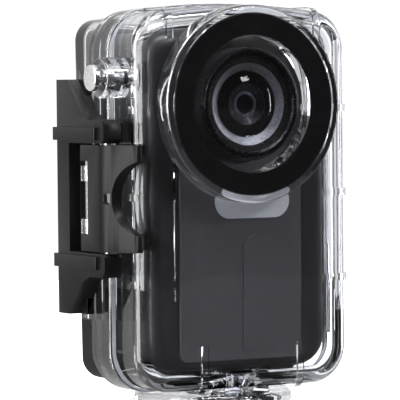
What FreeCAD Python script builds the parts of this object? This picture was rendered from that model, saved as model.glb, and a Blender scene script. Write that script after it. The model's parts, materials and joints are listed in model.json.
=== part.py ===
import FreeCAD, Part
import math
import os

# A small action camera shut in its clear waterproof case.
# Millimetres. +Z is up, the lens looks along -Y, the latch is on the -X side and the
# door's hinge on the +X side. The origin is the mouth of the tripod thread, on the
# underside of the foot that the case stands on.

V = FreeCAD.Vector

# ---- fits and clearances ----
RUN = 0.05              # running clearance on a radius
FACE_GAP = 0.05         # between the two flange faces at the seam
SLIP = 0.10             # sliding clearance of a key in its hole
MOVE_GAP = 0.30         # between pieces that pass each other

# ---- clear case: front shell ----
WALL = 2.0
CASE_HALF = 22.15
CASE_BOTTOM = 3.2
CASE_TOP = 73.3
CASE_CORNER = 7.0
CASE_ARCH = 120.0
CASE_FRONT = -6.8
CASE_EDGE = 2.2
SEAM = 6.9

# ---- flanges that clamp the seal ----
FLANGE_SIDE = 1.45      # beyond the case on each side
FLANGE_TOP = 0.4
FLANGE_UNDER = 0.5
FLANGE_FRONT_THICK = 5.4
FLANGE_DOOR_THICK = 2.1
SEAL_INSET = 0.5        # from the cavity to the groove
SEAL_GROOVE = 1.4
SEAL_DEPTH = 1.1

# ---- raised ribs and panel on the front shell ----
RIB = 0.55
RIB_WIDE = 1.3
SIDE_RIB_DOWN = (19.0, 34.6, 50.4)      # below the top of the case
SIDE_RIB_END = 5.3                      # behind the front face
PANEL_LEFT = -14.7
PANEL_RIGHT = 16.4
PANEL_UP = 16.6                         # above the bottom of the case
LOW_RIB_X = (-8.65, 11.45)
LOW_RIB_LONG = 8.1
TOP_RIB_X = (-15.4, 15.4)
TOP_RIB_LONG = 6.1

# ---- lens port ----
PORT_DOWN = 18.1        # axis below the top of the case
PORT_R = 18.0
PORT_PROUD = 4.09
PORT_EDGE = 0.7
BEZEL_R = 16.6
BEZEL_HOLE = 12.5
BEZEL_THICK = 0.5
BEZEL_SINK = 0.14
WINDOW_R = 15.6
WINDOW_THICK = 0.8
PORT_BORE = 12.6
PORT_SEAL_R = 14.2
PORT_SEAL_WIRE = 0.45

# ---- rear door ----
DOOR_INSET = (0.65, 1.1, 0.9)   # inside the case at the sides, bottom and top
DOOR_CORNER = 4.0
DOOR_BACK = 18.0                # at the bottom of the door
DOOR_LEAN = 1.8                 # how much further back it reaches at the top
DOOR_EDGE = 1.6
DOOR_INNER_EDGE = 0.9
DOOR_WALL = 1.6
BOOT_TOP = 15.4                 # of the rubber boot round the door's lower end
BOOT_THICK = 0.7
BOOT_GAP = 0.6                  # behind the door's flange
LINER_THICK = 2.5
LINER_GAP = 0.3
LINER_SIDE = 6.3                # width of the liner's frame at the sides
LINER_ENDS = (9.7, 7.9)         # and at the bottom and top

# ---- door hinge ----
HINGE_OUT = 2.35        # axis beyond the flange
HINGE_R = 2.0
HINGE_PIN_R = 0.9
HINGE_ENDS = (8.8, 9.3)         # in from the bottom and top of the case
HINGE_KNUCKLE = 8.0

# ---- tripod foot and insert ----
FOOT_R = 14.6
FOOT_Y = 5.7
FOOT_THICK = 2.2
FOOT_EDGE = 0.9
FOOT_NECK_R = 7.6
THREAD_R = 2.6
THREAD_DEPTH = 5.3
INSERT_R = 4.2
INSERT_CAP = 0.6
COLLAR_R = 7.8
COLLAR_Z = (0.4, 1.8)
COLLAR_TEETH = 40
COLLAR_TOOTH = 0.45
INSERT_BOSS_WALL = 1.2

# ---- shutter plunger through the case wall ----
BUTTON_Y = -1.3
BUTTON_DOWN = 13.15     # below the top of the case
BUTTON_BOSS_R = 3.7
BUTTON_BOSS_OUT = 4.75  # beyond the case side
BUTTON_TRAVEL = 0.8
BUTTON_CAP_R = 2.4
BUTTON_CAP_THICK = 0.95
BUTTON_GAP = 0.1        # cap to boss with the button pressed home
STEM_R = 0.75
HUB_R = 1.35
HUB_LONG = 0.75
SPRING_HOLE_R = 1.6
SPRING_HOLE_DEEP = 3.6
SPRING_WIRE = 0.2
SPRING_TURNS = 4
SPRING_SIDES = 12       # flats round the spring's wire
RING_GROOVE_R = 0.55
RING_WIRE = 0.3
GLAND_R = 1.2
CLIP_R = 1.7
CLIP_THICK = 0.3

# ---- latch: distances out from the flange's side, and behind or above its own middle ----
LATCH_DOWN = 34.8       # middle of the latch below the top of the case
LEVER_HALF = 9.6
ROD_OUT = 2.1
ROD_BACK = 2.3          # in front of the seam
ROD_R = 0.9
LUG_R = 1.75
LUG_SPANS = ((-6.5, -3.8), (3.0, 5.8))
EAR_LONG = 2.9
LINK_OUT = 2.0
LINK_BACK = 9.0         # in front of the seam
LINK_R = 1.95
LINK_PIN_R = 0.75
LINK_PIN_LONG = 6.0
TIP_IN = 0.6            # tip of the lever, out from the flange's side and in front of the link
TIP_FORWARD = 6.8
LEVER_TIP_R = 0.75
LEVER_THICK = 1.8
FINGER_R = 7.1
FINGER_FORWARD = 9.8    # in front of the link
LEVER_SLOT_TALL = 1.9
LEVER_SLOT_WIDE = 1.2
LEVER_SLOT_OUT = 0.25   # outside the link's axis
LEVER_SLOT_TURN = 61.0  # degrees from across the case
LEVER_CHAMFER = 2.4
BAR_OUT = 4.0
BAR_GAP = 0.35          # behind the door's flange
BAR_DEEP = 4.8
BAR_SPAN = (-21.6, 21.3)
ARM_TALL = 4.3
ARM_OUT = 0.35
BAND_PROUD = 0.7
BAND_FORWARD = 6.6      # in front of the rod
BAND_TALL = 2.4
CATCH_DRAFT = 0.76      # taper of the door flange over its thickness
CATCH_GAP = 0.37
CATCH_START = 0.2       # behind the seam
CATCH_DEEP = 1.35       # from the arms' inner face to the catch's root

# ---- camera ----
CAM_SIDE_ROOM = 1.35
CAM_UNDER_ROOM = 1.4
CAM_OVER_ROOM = 1.9
CAM_FRONT_ROOM = 0.75
CAM_BACK_ROOM = 0.3
CAM_CORNER = 5.5
CAM_REAR_DEEP = 8.1
CAM_WALL = 1.2
KEY_FOOT_END = 0.85     # inwards from the camera's wall, with the key at rest
KEY_FOOT_REACH = 1.9
KEY_FOOT_HALF = 3.0
SWITCH_DEEP = 2.0
SWITCH_HALF = 1.4
CAM_FRONT_EDGE = 2.5
CAM_BACK_EDGE = 1.5
FACE_HALF = 12.75
FACE_THICK = 0.45
FACE_UP = 1.7
TONGUE_X = 2.8
TONGUE_HALF = 2.45
TONGUE_DOWN = 24.0      # below the port's axis
TONGUE_PROUD = 0.2
BADGE_X = 2.3
BADGE_HALF = 7.85
BADGE_DOWN = (20.9, 14.6)
BADGE_THICK = 0.12

# ---- lens ----
LENS_FRONT_GAP = 0.15
BARREL_R = 10.3
BARREL_NECK_R = 7.9
BARREL_BACK = 3.4
TRIM_R = 9.75
TRIM_HOLE = 8.75
TRIM_TALL = 0.7
CONE_DEEP = 1.1
RETAINER_R = 7.5
RETAINER_HOLE = 6.0
RETAINER_DEEP = 1.5
DOME_R = 6.0
DOME_RISE = 1.5
DOME_THICK = 0.6
DOME_SEAT = 0.6
INNER_LENS_R = 3.6
IRIS_R = 1.6
IRIS_BAND = 0.5
IRIS_THICK = 0.35
MASK_THICK = 0.9
REAR_LENS_R = 4.8

# ---- camera inside ----
SCREW_INSET = (3.7, 4.3, 4.2)   # in from the sides, bottom and top
SCREW_R = 0.8
SCREW_HEAD_R = 1.5
SCREW_POST_R = 2.0
BOARD_DEEP = 6.4                # front of the main board in from the camera's back
BOARD_THICK = 1.0
BOARD_INSET = (2.4, 2.4, 2.9)
BATTERY_INSET = 3.8
BATTERY_UP = 12.9
BATTERY_ROOM = 1.9              # below the lens barrel
KEY_R = 2.4
KEY_PROUD = 0.2
KEY_TRAVEL = 0.4
KEY_LONG = 1.7
KEY_UP = (22.9, 13.9)           # above the underside of the camera
KEY_PITCH = 9.5
LIGHT_INSET = 4.3
LIGHT_R = 0.85
SCREEN_SIDE = 3.4
SCREEN_UP = 30.6
SCREEN_DOWN = 9.0
SCREEN_THICK = 1.0

# ---- values worked out from those above ----
SEAM_DOOR = SEAM + FACE_GAP
FLANGE_HALF = CASE_HALF + FLANGE_SIDE
FLANGE_BACK = SEAM_DOOR + FLANGE_DOOR_THICK
CAVITY_FRONT = CASE_FRONT + WALL
CAVITY_HALF = CASE_HALF - WALL
SIDE_RIB_Z = [CASE_TOP - down for down in SIDE_RIB_DOWN]
PORT_Z = CASE_TOP - PORT_DOWN
PORT_FRONT = CASE_FRONT - PORT_PROUD
BEZEL_BACK = PORT_FRONT + BEZEL_SINK + BEZEL_THICK
WINDOW_BACK = BEZEL_BACK + WINDOW_THICK
DOOR_HALF = CASE_HALF - DOOR_INSET[0]
DOOR_BOTTOM = CASE_BOTTOM + DOOR_INSET[1]
DOOR_TOP = CASE_TOP - DOOR_INSET[2]
HINGE_X = FLANGE_HALF + HINGE_OUT
HINGE_Y = SEAM
HINGE_Z = (CASE_BOTTOM + HINGE_ENDS[0], CASE_TOP - HINGE_ENDS[1])
LENS_FRONT = WINDOW_BACK + LENS_FRONT_GAP
MASK_FRONT = LENS_FRONT + CONE_DEEP + DOME_SEAT + DOME_THICK
BUTTON_Z = CASE_TOP - BUTTON_DOWN
BOSS_END = -CASE_HALF - BUTTON_BOSS_OUT
CAP_BACK = BOSS_END - BUTTON_TRAVEL - BUTTON_GAP
LATCH_MID = CASE_TOP - LATCH_DOWN
LATCH_Z = (LATCH_MID - LEVER_HALF, LATCH_MID + LEVER_HALF)
LUG_Z = [(LATCH_MID + low, LATCH_MID + high) for low, high in LUG_SPANS]
ROD_X = -FLANGE_HALF - ROD_OUT
ROD_Y = SEAM - ROD_BACK
LINK_X = -FLANGE_HALF - LINK_OUT
LINK_Y = SEAM - LINK_BACK
LEVER_TIP = (-FLANGE_HALF + TIP_IN, LINK_Y - TIP_FORWARD)
FINGER_Y = LINK_Y - FINGER_FORWARD
BAR_X = -FLANGE_HALF - BAR_OUT
BAR_Y = (FLANGE_BACK + BAR_GAP, FLANGE_BACK + BAR_GAP + BAR_DEEP)
BAR_Z = (LATCH_MID + BAR_SPAN[0], LATCH_MID + BAR_SPAN[1])
ARM_INNER_X = -FLANGE_HALF - ARM_OUT
CAM_HALF = CAVITY_HALF - CAM_SIDE_ROOM
SWITCH_START = KEY_FOOT_END + BUTTON_TRAVEL + 0.05
CAM_BOTTOM = CASE_BOTTOM + WALL + CAM_UNDER_ROOM
CAM_TOP = CASE_TOP - WALL - CAM_OVER_ROOM
CAM_FRONT = CAVITY_FRONT + CAM_FRONT_ROOM
CAM_BACK = DOOR_BACK - DOOR_WALL - LINER_THICK - CAM_BACK_ROOM
CAM_SPLIT = CAM_BACK - CAM_REAR_DEEP
FACE_BOTTOM = CAM_BOTTOM + FACE_UP
FACE_FRONT = CAM_FRONT - FACE_THICK
TONGUE_TOP = PORT_Z - TONGUE_DOWN
BADGE_Z = [PORT_Z - down for down in BADGE_DOWN]
SCREW_X = CAM_HALF - SCREW_INSET[0]
SCREW_Z = (CAM_BOTTOM + SCREW_INSET[1], CAM_TOP - SCREW_INSET[2])
BOARD_Y = CAM_BACK - BOARD_DEEP
BOARD_BACK = BOARD_Y + BOARD_THICK
BATTERY_TOP = PORT_Z - BARREL_R - BATTERY_ROOM
KEY_PLACES = [(side * KEY_PITCH, CAM_BOTTOM + KEY_UP[0]) for side in (-1, 0, 1)]
KEY_PLACES.append((0.0, CAM_BOTTOM + KEY_UP[1]))
LIGHT_X = CAM_HALF - LIGHT_INSET
SCREEN_HALF = CAM_HALF - SCREEN_SIDE
SCREEN_Z = (CAM_BOTTOM + SCREEN_UP, CAM_TOP - SCREEN_DOWN)
KEY_CLEAR = 0.1


# ---- small shape helpers ----
def box(x, y, z):
    """A block between three low-high pairs."""
    return Part.makeBox(x[1] - x[0], y[1] - y[0], z[1] - z[0], V(x[0], y[0], z[0]))


def bar(radius, start, end):
    """A round bar from one point to another."""
    line = V(*end) - V(*start)
    return Part.makeCylinder(radius, line.Length, V(*start), line)


def pipe(outer, inner, start, end):
    """A round bar with a bore right through."""
    return bar(outer, start, end).cut(bar(inner, start, end))


def y_disc(radius, x, z, y0, y1):
    """A disc whose axis runs along Y."""
    return bar(radius, (x, y0, z), (x, y1, z))


def y_ring(outer, inner, x, z, y0, y1):
    return y_disc(outer, x, z, y0, y1).cut(y_disc(inner, x, z, y0, y1))


def turned(profile, x, z):
    """A closed profile of (radius, y) points turned about the line through x, z along Y."""
    points = [V(x + r, y, z) for r, y in profile]
    wire = Part.makePolygon(points + [points[0]])
    return Part.Face(wire).revolve(V(x, 0, z), V(0, 1, 0), 360)


def prism_yz(points, x0, x1):
    """A (y, z) outline carried along X."""
    corners = [V(x0, y, z) for y, z in points]
    return Part.Face(Part.makePolygon(corners + [corners[0]])).extrude(V(x1 - x0, 0, 0))


def prism_xy(points, z0, z1):
    """An (x, y) outline carried along Z."""
    corners = [V(x, y, z0) for x, y in points]
    return Part.Face(Part.makePolygon(corners + [corners[0]])).extrude(V(0, 0, z1 - z0))


def edges_at_y(solid, y):
    """The edges that lie wholly in the plane at y."""
    box_of = [(edge, edge.BoundBox) for edge in solid.Edges]
    return [edge for edge, b in box_of if abs(b.YMin - y) < 1e-4 and abs(b.YMax - y) < 1e-4]


def edges_at_z(solid, z):
    """The edges that lie wholly in the plane at z."""
    box_of = [(edge, edge.BoundBox) for edge in solid.Edges]
    return [edge for edge, b in box_of if abs(b.ZMin - z) < 1e-4 and abs(b.ZMax - z) < 1e-4]


def edges_at_x(solid, x):
    """The edges that lie wholly in the plane at x."""
    box_of = [(edge, edge.BoundBox) for edge in solid.Edges]
    return [edge for edge, b in box_of if abs(b.XMin - x) < 1e-4 and abs(b.XMax - x) < 1e-4]


def arched(half, bottom, top, corner, arch, y0, y1):
    """A block with straight sides, round corners and a shallow arched top, carried along Y."""
    centre = top - arch
    cx = half - corner
    cz = centre + math.sqrt((arch - corner) ** 2 - cx ** 2)
    reach = arch / (arch - corner)
    tx = cx * reach
    tz = centre + (cz - centre) * reach
    lean = math.atan2(cz - centre, cx) / 2
    diagonal = corner * math.sqrt(0.5)

    def point(x, z):
        return V(x, y0, z)

    def arc(a, b, c):
        return Part.Arc(point(*a), point(*b), point(*c)).toShape()

    def line(a, b):
        return Part.LineSegment(point(*a), point(*b)).toShape()

    low = bottom + corner
    mx = cx + corner * math.cos(lean)
    mz = cz + corner * math.sin(lean)
    edges = [
        line((-cx, bottom), (cx, bottom)),
        arc((cx, bottom), (cx + diagonal, low - diagonal), (half, low)),
        line((half, low), (half, cz)),
        arc((half, cz), (mx, mz), (tx, tz)),
        arc((tx, tz), (0, top), (-tx, tz)),
        arc((-tx, tz), (-mx, mz), (-half, cz)),
        line((-half, cz), (-half, low)),
        arc((-half, low), (-cx - diagonal, low - diagonal), (-cx, bottom)),
    ]
    return Part.Face(Part.Wire(edges)).extrude(V(0, y1 - y0, 0))


def case_block(grow, y0, y1, edge):
    """The case's outer form grown or shrunk all round, with its front edge rounded."""
    block = arched(CASE_HALF + grow, CASE_BOTTOM - grow, CASE_TOP + grow,
                   CASE_CORNER + grow, CASE_ARCH + grow, y0, y1)
    return block.makeFillet(edge, edges_at_y(block, y0))


def flange_block(y0, y1):
    return arched(FLANGE_HALF, CASE_BOTTOM - FLANGE_UNDER, CASE_TOP + FLANGE_TOP,
                  CASE_CORNER + 1.0, CASE_ARCH, y0, y1)


def camera_block(shrink, y0, y1):
    return arched(CAM_HALF - shrink, CAM_BOTTOM + shrink, CAM_TOP - shrink,
                  CAM_CORNER - shrink, CASE_ARCH - shrink, y0, y1)


def fuse(first, *others):
    return first.multiFuse(list(others)).removeSplitter() if others else first


# ---- clear case ----
def latch_lugs(clearance):
    """Round lugs on the shell's flange that carry the latch rod."""
    lugs = []
    for z0, z1 in LUG_Z:
        low, high = z0 - clearance, z1 + clearance
        knuckle = bar(LUG_R + clearance, (ROD_X, ROD_Y, low), (ROD_X, ROD_Y, high))
        web = box((ROD_X, -FLANGE_HALF + 0.2), (ROD_Y - 1.5, ROD_Y + 1.5), (low, high))
        lugs += [knuckle, web]
    return lugs


def hinge_knuckles(lower, upper, side):
    """Knuckles at two heights, each with a web to the flange on one side of the seam."""
    pieces = []
    for z in (lower, upper):
        knuckle = bar(HINGE_R, (HINGE_X, HINGE_Y, z), (HINGE_X, HINGE_Y, z + HINGE_KNUCKLE))
        depth = HINGE_R * 0.95
        y = (HINGE_Y - depth, HINGE_Y - FACE_GAP) if side < 0 else (SEAM_DOOR, HINGE_Y + depth)
        web = box((FLANGE_HALF - 0.3, HINGE_X), y, (z, z + HINGE_KNUCKLE))
        pieces += [knuckle, web]
    return pieces


def shell_ribs():
    """Raised ribs that wrap the front edges, and the raised middle panel below the port."""
    grown = case_block(RIB, CASE_FRONT - RIB, SEAM, CASE_EDGE + RIB)
    half = RIB_WIDE / 2
    deep = (CASE_FRONT - 2 * RIB, CASE_FRONT + SIDE_RIB_END)
    wide = CASE_HALF + 2 * RIB
    zones = []
    for z in SIDE_RIB_Z:
        zones.append(box((-wide, PANEL_LEFT), deep, (z - half, z + half)))
        zones.append(box((PANEL_RIGHT, wide), deep, (z - half, z + half)))
    to_flange = (CASE_FRONT - 2 * RIB, SEAM - FLANGE_FRONT_THICK)
    for x in LOW_RIB_X:
        rib_z = (CASE_BOTTOM - 2 * RIB, CASE_BOTTOM + LOW_RIB_LONG)
        zones.append(box((x - half, x + half), to_flange, rib_z))
    for x in TOP_RIB_X:
        zones.append(box((x - half, x + half), to_flange, (CASE_TOP - TOP_RIB_LONG, CASE_TOP + 2 * RIB)))
    middle = (CASE_FRONT - 2 * RIB, CASE_FRONT)
    zones.append(box((PANEL_LEFT, PANEL_RIGHT), middle, (CASE_BOTTOM + PANEL_UP, PORT_Z)))
    return [grown.common(zone) for zone in zones]


def front_shell():
    outer = case_block(0, CASE_FRONT, SEAM, CASE_EDGE)
    flange = flange_block(SEAM - FLANGE_FRONT_THICK, SEAM)
    flange = flange.makeFillet(0.6, edges_at_y(flange, SEAM - FLANGE_FRONT_THICK))
    port = y_disc(PORT_R, 0, PORT_Z, PORT_FRONT, CAVITY_FRONT)
    port = port.makeFillet(PORT_EDGE, edges_at_y(port, PORT_FRONT))
    boss = bar(BUTTON_BOSS_R, (BOSS_END, BUTTON_Y, BUTTON_Z), (-CAVITY_HALF, BUTTON_Y, BUTTON_Z))
    boss = boss.makeFillet(0.5, edges_at_x(boss, BOSS_END))
    knuckles = hinge_knuckles(HINGE_Z[0], HINGE_Z[1] - HINGE_KNUCKLE, -1)
    body = fuse(outer, flange, port, boss, *latch_lugs(0), *knuckles, *shell_ribs())
    cavity = case_block(-WALL, CAVITY_FRONT, SEAM + 1, CASE_EDGE - 0.9)
    insert_boss = bar(INSERT_R + INSERT_BOSS_WALL, (0, 0, CASE_BOTTOM),
                      (0, 0, THREAD_DEPTH + INSERT_CAP + INSERT_CAP))
    cavity = cavity.cut(insert_boss)
    cuts = [
        cavity,
        y_disc(PORT_BORE, 0, PORT_Z, PORT_FRONT - 1, CAVITY_FRONT + 1),
        y_disc(BEZEL_R + RUN, 0, PORT_Z, PORT_FRONT - 1, BEZEL_BACK),
        y_disc(WINDOW_R + RUN, 0, PORT_Z, PORT_FRONT - 1, WINDOW_BACK),
        y_ring(PORT_SEAL_R + PORT_SEAL_WIRE + RUN, PORT_SEAL_R - PORT_SEAL_WIRE - RUN, 0, PORT_Z,
               WINDOW_BACK, WINDOW_BACK + 2 * PORT_SEAL_WIRE),
        bar(INSERT_R, (0, 0, 0), (0, 0, THREAD_DEPTH + INSERT_CAP)),
        bar(STEM_R + RUN, (BOSS_END - 1, BUTTON_Y, BUTTON_Z), (-CAVITY_HALF + 1, BUTTON_Y, BUTTON_Z)),
        bar(SPRING_HOLE_R, (BOSS_END - 1, BUTTON_Y, BUTTON_Z),
            (BOSS_END + SPRING_HOLE_DEEP, BUTTON_Y, BUTTON_Z)),
        bar(GLAND_R, (-CASE_HALF - 0.6, BUTTON_Y, BUTTON_Z), (-CASE_HALF + 1.4, BUTTON_Y, BUTTON_Z)),
        bar(ROD_R, (ROD_X, ROD_Y, LATCH_Z[0]), (ROD_X, ROD_Y, LATCH_Z[1])),
        bar(HINGE_PIN_R + RUN, (HINGE_X, HINGE_Y, 0), (HINGE_X, HINGE_Y, CASE_TOP)),
    ]
    cuts += door_knuckle_room()
    return cut_all(body, cuts)


def cut_all(body, cuts):
    for tool in cuts:
        body = body.cut(tool)
    return body


def door_knuckle_room():
    """Room in the shell's flange beside the door's knuckles."""
    rooms = []
    for z in door_knuckle_heights():
        rooms.append(bar(HINGE_R + MOVE_GAP, (HINGE_X, HINGE_Y, z - MOVE_GAP),
                         (HINGE_X, HINGE_Y, z + HINGE_KNUCKLE + MOVE_GAP)))
    return rooms


def door_knuckle_heights():
    lower = HINGE_Z[0] + HINGE_KNUCKLE + MOVE_GAP
    upper = HINGE_Z[1] - 2 * HINGE_KNUCKLE - MOVE_GAP
    return lower, upper


def door_block(shrink):
    """The door's tray as a solid block, shrunk all round, with a back that leans out towards the top."""
    slope = DOOR_LEAN / (DOOR_TOP - DOOR_BOTTOM)

    def back_at(z):
        return DOOR_BACK - shrink + slope * (z - DOOR_BOTTOM)

    block = arched(DOOR_HALF - shrink, DOOR_BOTTOM + shrink, DOOR_TOP - shrink, DOOR_CORNER - shrink,
                   CASE_ARCH - shrink, SEAM_DOOR, DOOR_BACK + DOOR_LEAN + 1)
    low, high = DOOR_BOTTOM - 5, DOOR_TOP + 5
    beyond = DOOR_BACK + DOOR_LEAN + 2
    block = block.cut(prism_yz([(back_at(low), low), (beyond, low), (beyond, high), (back_at(high), high)],
                               -DOOR_HALF - 1, DOOR_HALF + 1))
    rim = [edge for edge in block.Edges if all(abs(v.Y - back_at(v.Z)) < 1e-4 for v in edge.Vertexes)]
    return block.makeFillet(DOOR_EDGE - shrink, rim)


def door_boot():
    """Black rubber boot let into the lower end of the door, flush with its outside."""
    skin = door_block(0).cut(door_block(BOOT_THICK))
    return skin.common(box((-DOOR_HALF - 1, DOOR_HALF + 1), (FLANGE_BACK + BOOT_GAP, DOOR_BACK + 2),
                           (DOOR_BOTTOM - 1, BOOT_TOP)))


def rear_door():
    tray = door_block(0)
    flange = flange_block(SEAM_DOOR, FLANGE_BACK)
    flange = flange.makeFillet(0.5, edges_at_y(flange, FLANGE_BACK))
    lower, upper = door_knuckle_heights()
    body = fuse(tray, flange, *hinge_knuckles(lower, upper, 1))
    inside = arched(DOOR_HALF - DOOR_WALL, DOOR_BOTTOM + DOOR_WALL, DOOR_TOP - DOOR_WALL,
                    DOOR_CORNER - DOOR_WALL, CASE_ARCH - DOOR_WALL, SEAM_DOOR - 1,
                    DOOR_BACK - DOOR_WALL)
    inside = inside.makeFillet(DOOR_INNER_EDGE, edges_at_y(inside, DOOR_BACK - DOOR_WALL))
    low, high = BAR_Z[0] - 1, BAR_Z[1] + 1
    taper = prism_xy([(-FLANGE_HALF, SEAM_DOOR), (-FLANGE_HALF - 2, SEAM_DOOR),
                      (-FLANGE_HALF - 2, FLANGE_BACK), (-FLANGE_HALF + CATCH_DRAFT, FLANGE_BACK)],
                     low, high)
    pin_hole = bar(HINGE_PIN_R + RUN, (HINGE_X, HINGE_Y, 0), (HINGE_X, HINGE_Y, CASE_TOP))
    rooms = []
    for z in (HINGE_Z[0], HINGE_Z[1] - HINGE_KNUCKLE):
        rooms.append(bar(HINGE_R + MOVE_GAP, (HINGE_X, HINGE_Y, z - MOVE_GAP),
                         (HINGE_X, HINGE_Y, z + HINGE_KNUCKLE + MOVE_GAP)))
    return cut_all(body, [inside, seal_loop(0, SEAL_DEPTH), taper, pin_hole, door_boot()] + rooms)


def seal_loop(side_gap, depth):
    """The path of the door seal: a loop that follows the cavity's outline."""
    outer = arched_cavity(SEAL_INSET + SEAL_GROOVE - side_gap, SEAM_DOOR, SEAM_DOOR + depth)
    inner = arched_cavity(SEAL_INSET + side_gap, SEAM_DOOR, SEAM_DOOR + depth)
    return outer.cut(inner)


def arched_cavity(grow, y0, y1):
    shrink = WALL - grow
    return arched(CASE_HALF - shrink, CASE_BOTTOM + shrink, CASE_TOP - shrink,
                  CASE_CORNER - shrink, CASE_ARCH - shrink, y0, y1)


def door_seal():
    return seal_loop(SLIP, SEAL_DEPTH)


def door_liner():
    back = DOOR_BACK - DOOR_WALL
    shrink = DOOR_WALL + LINER_GAP
    pad = arched(DOOR_HALF - shrink, DOOR_BOTTOM + shrink, DOOR_TOP - shrink,
                 DOOR_CORNER - shrink, CASE_ARCH - shrink, back - LINER_THICK, back)
    pad = pad.makeFillet(DOOR_INNER_EDGE, edges_at_y(pad, back))
    half = DOOR_HALF - LINER_SIDE
    hole = box((-half, half), (back - LINER_THICK - 1, back + 1),
               (DOOR_BOTTOM + LINER_ENDS[0], DOOR_TOP - LINER_ENDS[1]))
    return pad.cut(hole)


def door_hinge_pin():
    shank = bar(HINGE_PIN_R, (HINGE_X, HINGE_Y, HINGE_Z[0] - 0.3), (HINGE_X, HINGE_Y, HINGE_Z[1] + 0.3))
    heads = [bar(HINGE_PIN_R + 0.5, (HINGE_X, HINGE_Y, z), (HINGE_X, HINGE_Y, z + 0.5))
             for z in (HINGE_Z[0] - 0.5, HINGE_Z[1])]
    return fuse(shank, *heads)


def port_bezel():
    front = PORT_FRONT + BEZEL_SINK
    slope = 0.25
    profile = [(BEZEL_HOLE, front), (BEZEL_R - slope, front), (BEZEL_R, front + slope),
               (BEZEL_R, BEZEL_BACK), (BEZEL_HOLE, BEZEL_BACK)]
    return turned(profile, 0, PORT_Z)


def port_window():
    return y_disc(WINDOW_R, 0, PORT_Z, BEZEL_BACK, WINDOW_BACK)


def port_seal():
    middle = V(0, WINDOW_BACK + PORT_SEAL_WIRE, PORT_Z)
    return Part.makeTorus(PORT_SEAL_R, PORT_SEAL_WIRE, middle, V(0, 1, 0))


def cradle_pads():
    """Rubber strips that hold the camera off the case's floor and side walls."""
    floor = CASE_BOTTOM + WALL
    pads = [box((x - 2.5, x + 2.5), (CAM_FRONT + 3, CAM_SPLIT), (floor, CAM_BOTTOM)) for x in (-10.5, 10.5)]
    for z in (CAM_BOTTOM + 9.4, CAM_BOTTOM + 39.4):
        for side in (-1, 1):
            x = sorted((side * CAM_HALF, side * CAVITY_HALF))
            pads.append(box(x, (CAM_FRONT + 4, CAM_SPLIT), (z, z + 6)))
    return Part.makeCompound(pads)


# ---- foot ----
def mount_foot():
    disc = bar(FOOT_R, (0, FOOT_Y, 0), (0, FOOT_Y, FOOT_THICK))
    disc = disc.makeFillet(FOOT_EDGE, edges_at_z(disc, FOOT_THICK))
    disc = disc.makeFillet(0.35, edges_at_z(disc, 0))
    neck = bar(FOOT_NECK_R, (0, 0, 1), (0, 0, CASE_BOTTOM))
    neck = neck.common(box((-20, 20), (CASE_FRONT + CASE_EDGE + 0.1, SEAM - 0.6), (0, CASE_BOTTOM)))
    flange_room = box((-20, 20), (SEAM - FLANGE_FRONT_THICK, SEAM), (CASE_BOTTOM - FLANGE_UNDER, 9))
    body = fuse(disc, neck).cut(flange_room)
    for tool in (collar(0), bar(INSERT_R, (0, 0, -1), (0, 0, 9))):
        body = body.cut(tool)
    return body


def collar(gap):
    """A serrated disc that keeps the insert from turning in the foot."""
    points = []
    for i in range(COLLAR_TEETH):
        turn = 2 * math.pi * i / COLLAR_TEETH
        half = math.pi / COLLAR_TEETH
        points.append((COLLAR_R * math.cos(turn), COLLAR_R * math.sin(turn)))
        inner = COLLAR_R - COLLAR_TOOTH
        points.append((inner * math.cos(turn + half), inner * math.sin(turn + half)))
    return prism_xy(points, COLLAR_Z[0] - gap, COLLAR_Z[1] + gap)


def tripod_insert():
    body = fuse(bar(INSERT_R, (0, 0, 0), (0, 0, THREAD_DEPTH + INSERT_CAP)), collar(0))
    return body.cut(bar(THREAD_R, (0, 0, -1), (0, 0, THREAD_DEPTH)))


# ---- shutter plunger ----
def plunger_stem():
    tip = -CAM_HALF - KEY_CLEAR - BUTTON_TRAVEL
    stem = bar(STEM_R, (CAP_BACK, BUTTON_Y, BUTTON_Z), (tip, BUTTON_Y, BUTTON_Z))
    hub = bar(HUB_R, (CAP_BACK, BUTTON_Y, BUTTON_Z), (CAP_BACK + HUB_LONG, BUTTON_Y, BUTTON_Z))
    body = fuse(stem, hub)
    for x0, x1 in plunger_grooves():
        groove = pipe(STEM_R + 1, RING_GROOVE_R, (x0, BUTTON_Y, BUTTON_Z), (x1, BUTTON_Y, BUTTON_Z))
        body = body.cut(groove)
    return body


def plunger_grooves():
    """Where the seal ring and the retaining clip sit on the stem, at rest."""
    ring = -CASE_HALF - 0.3
    clip = -CAVITY_HALF + FACE_GAP
    return (ring, ring + 2 * RING_WIRE), (clip, clip + CLIP_THICK)


def plunger_ring():
    (x0, x1), _ = plunger_grooves()
    middle = V((x0 + x1) / 2, BUTTON_Y, BUTTON_Z)
    return Part.makeTorus(RING_GROOVE_R + RING_WIRE, RING_WIRE, middle, V(1, 0, 0))


def plunger_clip():
    _, (x0, x1) = plunger_grooves()
    ring = pipe(CLIP_R, RING_GROOVE_R, (x0, BUTTON_Y, BUTTON_Z), (x1, BUTTON_Y, BUTTON_Z))
    mouth = box((x0 - 1, x1 + 1), (BUTTON_Y - 0.5, BUTTON_Y + 0.5), (BUTTON_Z - CLIP_R - 1, BUTTON_Z))
    return ring.cut(mouth)


def plunger_cap():
    cap = bar(BUTTON_CAP_R, (CAP_BACK - BUTTON_CAP_THICK, BUTTON_Y, BUTTON_Z),
              (CAP_BACK, BUTTON_Y, BUTTON_Z))
    return cap.makeFillet(0.4, edges_at_x(cap, CAP_BACK - BUTTON_CAP_THICK))


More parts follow.
